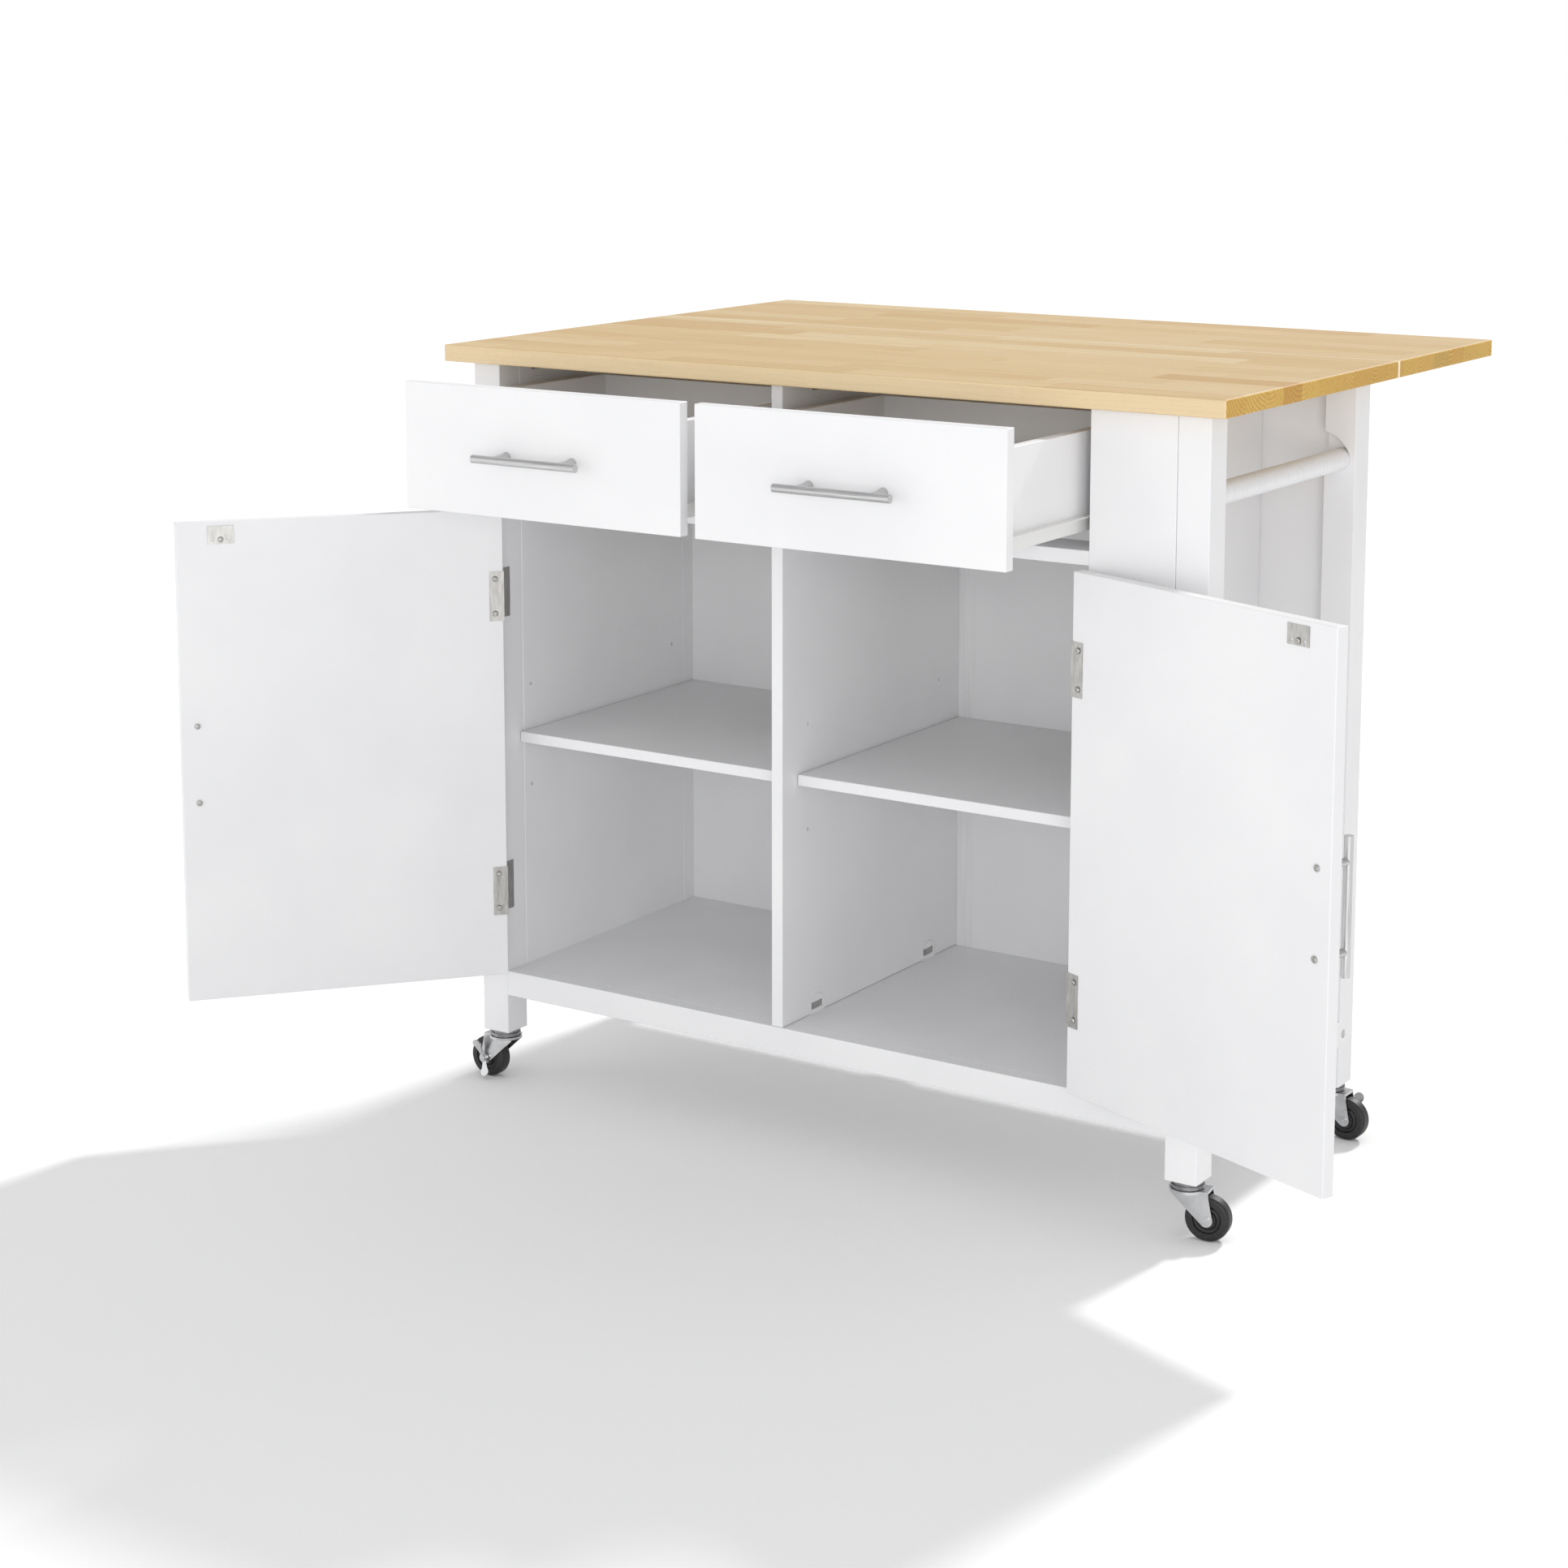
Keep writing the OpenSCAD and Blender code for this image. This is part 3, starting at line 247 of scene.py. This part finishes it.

    # cut ends drink more lacquer, so they are yellower and their rings stand out;
    # the long edges are sanded paler, and beside the slot a pale band is painted on as the rounded arrises'
    # highlight
    normal = addNode(tree, "ShaderNodeSeparateXYZ", None, {0: coordinates.outputs["Normal"]})
    endFace = mapped(calc("ABSOLUTE", normal.outputs[0]), 0.6, 0.8, 0.0, 1.0)
    sideFace = mapped(calc("ABSOLUTE", normal.outputs[1]), 0.5, 0.8, 0.0, 1.0)
    tinted = mixed(endFace, tone, look["endTint"], "MULTIPLY")
    endRing = calc("MULTIPLY", calc("MULTIPLY", mapped(ring, look["endRingFrom"], 1.0, 0.0, 1.0), endFace),
                   mapped(odds.outputs[0], 0.0, 1.0, look["endRingLeast"], look["endRingShare"]))
    tinted = mixed(endRing, tinted, look["endRing"])
    tinted = mixed(calc("MULTIPLY", sideFace, look["edgeShare"]), tinted, look["edgeTint"])
    sanded = addNode(tree, "ShaderNodeMix", {"data_type": "FLOAT"}, {
        0: calc("MULTIPLY", sideFace, look["edgeEvenness"]),
        2: calc("MULTIPLY", shade, look["lightness"]), 3: 1.0}).outputs[0]
    colour = addNode(tree, "ShaderNodeVectorMath", {"operation": "SCALE"}, {
        0: tinted, "Scale": sanded}).outputs[0]
    # painted highlight: a pale band along the rounded edges each side of the slot, standing in for the light
    # that those edges catch
    slotHighlightBand = mapped(calc("ABSOLUTE", calc("SUBTRACT", y, slotY)), look["arrisMm"] * mm,
                        (look["arrisMm"] + look["arrisFadeMm"]) * mm, 1.0, 0.0)
    colour = mixed(calc("MULTIPLY", slotHighlightBand, look["slotHighlightShare"]), colour, look["slotHighlight"])
    bump = addNode(tree, "ShaderNodeBump", None, {
        "Height": shade, "Strength": look["reliefStrength"], "Distance": look["reliefMm"] * mm})
    finishMaterial(tree, {
        "Base Color": colour, "Roughness": mapped(fibres, 0.0, 1.0, look["smooth"], look["rough"]),
        "Normal": bump.outputs[0], "Specular IOR Level": look["specular"],
    })
    return material


# Metal with a worked surface, or a plain plastic or rubber where metallic is 0.
# cells sets how the scratches run, in lengths per metre along X, Y and Z
def workedSurface(name, look):
    material, tree = newMaterial(name)
    roughSpread, relief = 0.1, 0.4
    lines = addNode(tree, "ShaderNodeTexNoise", None, {
        "Vector": scaledCoordinates(tree, look["cells"]), "Scale": 1.0, "Detail": 3.0, "Roughness": 0.6,
    })
    tone = addNode(tree, "ShaderNodeValToRGB", None, {0: lines.outputs[0]},
                   [(0.3, look["dark"]), (0.7, look["light"])])
    rough = addNode(tree, "ShaderNodeMapRange", None, {
        "Value": lines.outputs[0], "To Min": look["rough"] - roughSpread, "To Max": look["rough"] + roughSpread,
    })
    bump = addNode(tree, "ShaderNodeBump", None, {
        "Height": lines.outputs[0], "Strength": relief, "Distance": look["depthMm"] * mm,
    })
    finishMaterial(tree, {
        "Base Color": tone.outputs[0], "Metallic": look.get("metallic", 1.0), "Roughness": rough.outputs[0],
        "Normal": bump.outputs[0],
    })
    return material


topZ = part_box("worktop")[1][2]
slotY = (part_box("worktop")[1][1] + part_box("leaf")[0][1]) / 2
# Brushed stainless steel: fine streaks along the bar stretch the highlights across it
brushedLook = {"light": "D9D9D8", "dark": "A9A9AA", "rough": 0.33, "depthMm": 0.02}
brushedAlongX = workedSurface("brushedSteelAcross", {**brushedLook, "cells": (25, 2200, 2200)})
brushedAlongZ = workedSurface("brushedSteelUpright", {**brushedLook, "cells": (2200, 2200, 25)})
materials = {
    "white_paint": satinEnamel("satinEnamelOnBoard", paintLook),
    # painted solid wood, whose grain telegraphs through the enamel as upright lines
    "grained_paint": satinEnamel("satinEnamelOnSolidWood", paintLook, grainLook),
    "butcher_block": butcherBlock("rubberwoodButcherBlock", blockLook, topZ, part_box("worktop")[0][1], slotY),
    "brushed_steel": brushedAlongX,
    # nickel plated hinge steel: soft, slightly warm grey reflections with rolling marks
    "nickel": workedSurface("satinNickelPlate", {
        "cells": (300, 300, 60), "light": "C6C4C0", "dark": "A3A2A0", "rough": 0.34, "depthMm": 0.01}),
    # bright zinc plate on pressed steel: cool and a little cloudy
    "zinc": workedSurface("brightZincPlate", {
        "cells": (60, 60, 60), "light": "CFCFD0", "dark": "BDBEC0", "rough": 0.27, "depthMm": 0.01}),
    # greased steel of the swivel races: a darker grey than the plated forks
    "dark_steel": workedSurface("greasedRaceSteel", {
        "cells": (200, 200, 500), "light": "A0A0A1", "dark": "7C7C7E", "rough": 0.30, "depthMm": 0.01}),
    # powder coat on rolled steel: a glossier white than the boards
    "runner_white": workedSurface("whitePowderCoat", {
        "cells": (900, 900, 900), "light": "F0F0EE", "dark": "E8E8E6", "rough": 0.36, "depthMm": 0.01,
        "metallic": 0.0}),
    # moulded solid rubber: near black, dulled by handling and by floor dust
    "black_rubber": workedSurface("mouldedBlackRubber", {
        "cells": (260, 260, 260), "light": "262626", "dark": "161616", "rough": 0.48, "depthMm": 0.03,
        "metallic": 0.0}),
    # moulded plastic of the fixings' plugs: as white as the boards, with a finer and glossier skin
    "white_plastic": workedSurface("mouldedWhitePlastic", {
        "cells": (500, 500, 500), "light": "F3F3F3", "dark": "EDEDEE", "rough": 0.34, "depthMm": 0.008,
        "metallic": 0.0}),
    # moulded plastic of the catches, matt
    "catch_grey": workedSurface("mouldedCatchPlastic", {
        "cells": (700, 700, 700), "light": "B9BABD", "dark": "ADAEB2", "rough": 0.5, "depthMm": 0.01,
        "metallic": 0.0}),
}
uprightBars = ("door_left_handle", "door_right_handle")
for part in frame["record"]["subparts"]:
    chosen = brushedAlongZ if part["node"] in uprightBars else materials[part["material_slot"]]
    for socket in frame["nodes"][part["node"]].material_slots:
        socket.material = chosen
print("materials placed")


# faces of a grid of rows by columns, closed across the columns
def gridFaces(rows, columns):
    i, j = np.meshgrid(np.arange(rows - 1), np.arange(columns), indexing="ij")
    a, b = i * columns + j, i * columns + (j + 1) % columns
    return np.stack([a, b, b + columns, a + columns], -1).reshape(-1, 4)


# a mesh object from numpy points and quads, riding on a body
def addPiece(name, points, faces, material, body):
    mesh = bpy.data.meshes.new(name)
    mesh.from_pydata(points.reshape(-1, 3).tolist(), [], faces.tolist())
    mesh.validate()
    mesh.materials.append(material)
    mesh.polygons.foreach_set("use_smooth", np.full(len(mesh.polygons), True))
    piece = bpy.data.objects.new(name, mesh)
    scene.collection.objects.link(piece)
    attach(piece, body)
    return piece


# several copies of one grid, each turned and moved by its own matrix, as one set of points and quads
def copiesOf(points, faces, matrices):
    flat = np.c_[points.reshape(-1, 3), np.ones(points.size // 3)]
    allPoints = np.concatenate([(flat @ np.array(m).T)[:, :3] for m in matrices])
    allFaces = np.concatenate([faces + k * len(flat) for k in range(len(matrices))])
    return allPoints, allFaces


# Pan head screws with a cross recess: the height over a polar grid is a flattened dome,
# lowered by a fixed depth where the point lies on either arm of the cross
screwLook = {
    "radiusMm": 3.4, "headMm": 1.5, "crossMm": 2.1, "armMm": 0.45, "recessMm": 0.9,
    "rings": 15, "spokes": 48, "ringSpread": 0.8, "flatness": 4, "roundness": 0.6,
}


def screwHead(look):
    radius = look["radiusMm"] * mm
    share = np.linspace(0.0, 1.0, look["rings"]) ** look["ringSpread"]
    angle = np.linspace(0, 2 * math.pi, look["spokes"], endpoint=False)
    r, a = np.meshgrid(share * radius, angle, indexing="ij")
    px, py = r * np.cos(a), r * np.sin(a)
    dome = look["headMm"] * mm * np.clip(1 - (r / radius) ** look["flatness"], 0, 1) ** look["roundness"]
    near, far = np.minimum(np.abs(px), np.abs(py)), np.maximum(np.abs(px), np.abs(py))
    arm = (near < look["armMm"] * mm) & (far < look["crossMm"] * mm)
    points = np.stack([px, py, dome - arm * look["recessMm"] * mm], -1)
    return points, gridFaces(look["rings"], look["spokes"])


# the turn that takes a door from shut to where it stands at rest, about its own pivot
def turnAbout(pivot, degrees):
    there = Matrix.Translation(Vector(pivot))
    return there @ Matrix.Rotation(math.radians(degrees), 4, "Z") @ there.inverted()


# Where the heads sit on a shut door: across is measured from the pivot, back from the closed front.
# A seat is how far the head's underside stands off the door's inner face.
doorMm = {
    "inner": 18.5, "handleAcross": 366.5, "handleZ": 434, "handleSpacing": 92, "handleSeat": 0.9,
    "leafAcross": 11.0, "hinges": (253.0, 616.0), "leafScrews": 21, "leafSeat": 1.5,
    "strikeAcross": 334, "strikeZ": 700, "strikeSeat": 1.6,
}
# how far each cross is turned, in degrees
crossTurn = {"handle": 33, "leaf": 20, "strike": 12}
doorHands = {"left": 1, "right": -1}
joints = {joint["child"]: joint for joint in frame["record"]["behaviour"]["joints"]}
headPoints, headFaces = screwHead(screwLook)
for side, hand in doorHands.items():
    joint = joints[side + "_door"]
    pivot = Vector((joint["pos_m"][0], joint["pos_m"][1], 0))
    shut = max(joint["range_deg"], key=abs)
    base = turnAbout(pivot, -shut)
    spots = [(doorMm["handleAcross"], doorMm["handleSeat"], doorMm["handleZ"] + k * doorMm["handleSpacing"] / 2,
              crossTurn["handle"] * k) for k in (-1, 1)]
    spots += [(doorMm["leafAcross"], doorMm["leafSeat"], z + k * doorMm["leafScrews"],
               crossTurn["leaf"] * k + z) for z in doorMm["hinges"] for k in (-1, 1)]
    spots.append((doorMm["strikeAcross"], doorMm["strikeSeat"], doorMm["strikeZ"], crossTurn["strike"]))
    places = []
    for across, seat, z, spin in spots:
        spot = pivot + Vector((hand * across, doorMm["inner"] + seat, z)) * mm
        places.append(base @ Matrix.Translation(spot) @ Matrix.Rotation(-math.pi / 2, 4, "X")
                      @ Matrix.Rotation(math.radians(spin), 4, "Z"))
    points, faces = copiesOf(headPoints, headFaces, places)
    addPiece(side + "DoorScrews", points, faces, materials["nickel"], side + "_door")
print("screws placed")

# Floor, light and camera. The floor is plain and pale; the key light comes from behind, so that
# the object's soft shadow falls toward the camera, and large soft boxes fill its front.
# bounced is the floor's colour for light that it sends back to the object.
floorLook = {"size": 60.0, "seen": "FFFFFF", "bounced": "E4E4E4"}
floorMesh = bpy.data.meshes.new("studioFloor")
half = floorLook["size"] / 2
floorMesh.from_pydata([(-half, -half, 0), (half, -half, 0), (half, half, 0), (-half, half, 0)], [],
                      [(0, 1, 2, 3)])
floor = bpy.data.objects.new("studioFloor", floorMesh)
scene.collection.objects.link(floor)
material, tree = newMaterial("paleStudioFloor")
path = addNode(tree, "ShaderNodeLightPath")
seen = addNode(tree, "ShaderNodeMath", {"operation": "MAXIMUM"}, {
    0: path.outputs["Is Camera Ray"], 1: path.outputs["Is Glossy Ray"]})
pale = addNode(tree, "ShaderNodeMix", {"data_type": "RGBA"}, {
    "Factor": seen.outputs[0], 6: linearColour(floorLook["bounced"]), 7: linearColour(floorLook["seen"])})
matt = addNode(tree, "ShaderNodeBsdfDiffuse", None, {"Color": pale.outputs[2]})
addNode(tree, "ShaderNodeOutputMaterial", None, {"Surface": matt.outputs[0]})
floorMesh.materials.append(material)

# the world is white where the camera sees it, and fills the object more softly
worldLook = {"seen": 1.0, "fill": 0.65}
world = bpy.data.worlds.new("studioWorld")
world.use_nodes = True
world.node_tree.nodes.clear()
path = addNode(world.node_tree, "ShaderNodeLightPath")
seen = addNode(world.node_tree, "ShaderNodeMath", {"operation": "MAXIMUM"}, {
    0: path.outputs["Is Camera Ray"], 1: path.outputs["Is Transmission Ray"]})
strength = addNode(world.node_tree, "ShaderNodeMapRange", None, {
    "Value": seen.outputs[0], "To Min": worldLook["fill"], "To Max": worldLook["seen"]})
light = addNode(world.node_tree, "ShaderNodeBackground", None, {
    "Color": (1, 1, 1, 1), "Strength": strength.outputs[0]})
addNode(world.node_tree, "ShaderNodeOutputWorld", None, {"Surface": light.outputs[0]})
scene.world = world


def addLight(name, kind, look):
    data = bpy.data.lights.new(name, kind)
    data.energy = look["power"]
    if kind == "AREA":
        data.shape = "RECTANGLE"
        data.size, data.size_y = look["size"]
    else:
        data.angle = math.radians(look["spread"])
    lamp = bpy.data.objects.new(name, data)
    lamp.location = look["place"]
    lamp.rotation_euler = (Vector(look["aim"]) - Vector(look["place"])).to_track_quat("-Z", "Y").to_euler()
    scene.collection.objects.link(lamp)


floorMiddle, cabinetMiddle = (0, 0, 0), (0, 0, 0.5)
addLight("windowBehind", "SUN", {
    "power": 1.95, "spread": 7, "place": (0.35, 3.0, 2.7), "aim": floorMiddle})
addLight("frontSoftBox", "AREA", {
    "power": 28, "size": (3.0, 2.2), "place": (-0.8, -5.5, 1.2), "aim": cabinetMiddle})
addLight("cameraSoftBox", "AREA", {
    "power": 62, "size": (2.6, 2.0), "place": (3.0, -4.4, 1.1), "aim": cabinetMiddle})
addLight("leftSoftBox", "AREA", {
    "power": 10, "size": (1.8, 2.0), "place": (-3.2, -2.6, 1.5), "aim": cabinetMiddle})
print("lights placed")

# the camera stands where the photograph's did, with its lens moved up a little as the photograph's was
cameraLook = {
    "place": (1.8626, -3.0950, 1.2867), "yaw": 33.3892, "pitch": 8.65, "focalPx": 3833.3,
    "shift": (0.0, -0.18), "framePx": 1932, "sensorMm": 36, "nearM": 0.05, "farM": 100,
}
cameraData = bpy.data.cameras.new("photoCamera")
camera = bpy.data.objects.new("photoCamera", cameraData)
cameraData.sensor_width = cameraLook["sensorMm"]
cameraData.lens = cameraLook["focalPx"] / cameraLook["framePx"] * cameraLook["sensorMm"]
cameraData.shift_x, cameraData.shift_y = cameraLook["shift"]
cameraData.clip_start, cameraData.clip_end = cameraLook["nearM"], cameraLook["farM"]
camera.location = cameraLook["place"]
camera.rotation_euler = (math.radians(90 - cameraLook["pitch"]), 0, math.radians(cameraLook["yaw"]))
scene.collection.objects.link(camera)
scene.camera = camera
scene.view_settings.view_transform = "Standard"
print("camera placed")
